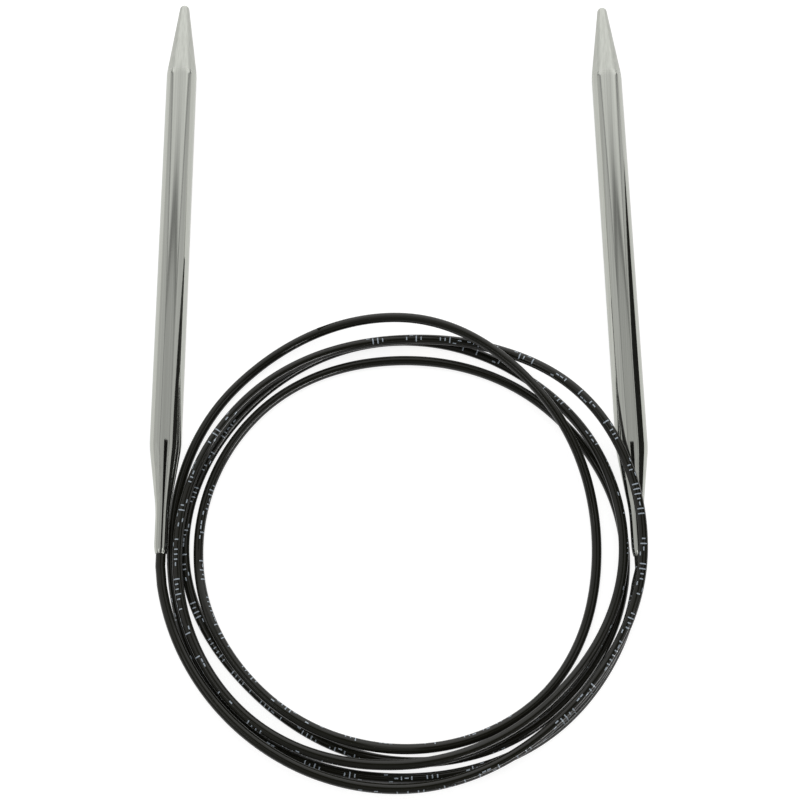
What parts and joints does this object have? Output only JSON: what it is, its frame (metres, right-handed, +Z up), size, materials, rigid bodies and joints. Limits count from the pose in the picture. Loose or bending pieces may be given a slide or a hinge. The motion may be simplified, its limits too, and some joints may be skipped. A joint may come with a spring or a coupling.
{
  "type": "circular knitting needle",
  "caption": "Polished hollow metal knitting needles with tapered points, joined at their narrow necks by a long black nylon cord lying in a loose coil; for knitting in the round.",
  "frame": {"origin": "on the table, at the middle of the rectangle that the needles cover", "axes": "+X to the right, +Y along the needles towards their points, +Z up from the table"},
  "size_m": [0.1015, 0.1694, 0.0081],
  "materials": {
    "plated_needle": "nickel-plated brass tube, polished",
    "nylon_cord": "black hollow nylon monofilament, soft gloss",
    "brass_pin": "turned brass, bare"
  },
  "bodies": {
    "coil": {"cord_coil": "nylon_cord", "left_lead": "nylon_cord", "right_lead": "nylon_cord"},
    "left_end": {"left_bend": "nylon_cord"},
    "left_needle": {"left_needle": "plated_needle", "left_cord_end": "nylon_cord", "left_anchor_pin": "brass_pin"},
    "right_needle": {"right_needle": "plated_needle", "right_cord_end": "nylon_cord", "right_anchor_pin": "brass_pin"}
  },
  "joints": [
    {"name": "left_swing", "type": "hinge", "parent": "coil", "child": "left_end", "pos_m": [-0.02447, -0.09997, 0.00345], "axis": [0, 0, 1], "range_deg": [0, 75], "deforming": ["left_lead"]},
    {"name": "left_lift", "type": "hinge", "parent": "left_end", "child": "left_needle", "pos_m": [-0.04474, -0.07561, 0.00345], "axis": [1, 0, 0], "range_deg": [0, 60], "deforming": ["left_bend"]},
    {"name": "right_swing", "type": "hinge", "parent": "coil", "child": "right_needle", "pos_m": [0.04603, -0.07282, 0.00264], "axis": [0, 0, -1], "range_deg": [0, 75], "deforming": ["right_lead"]}
  ]
}
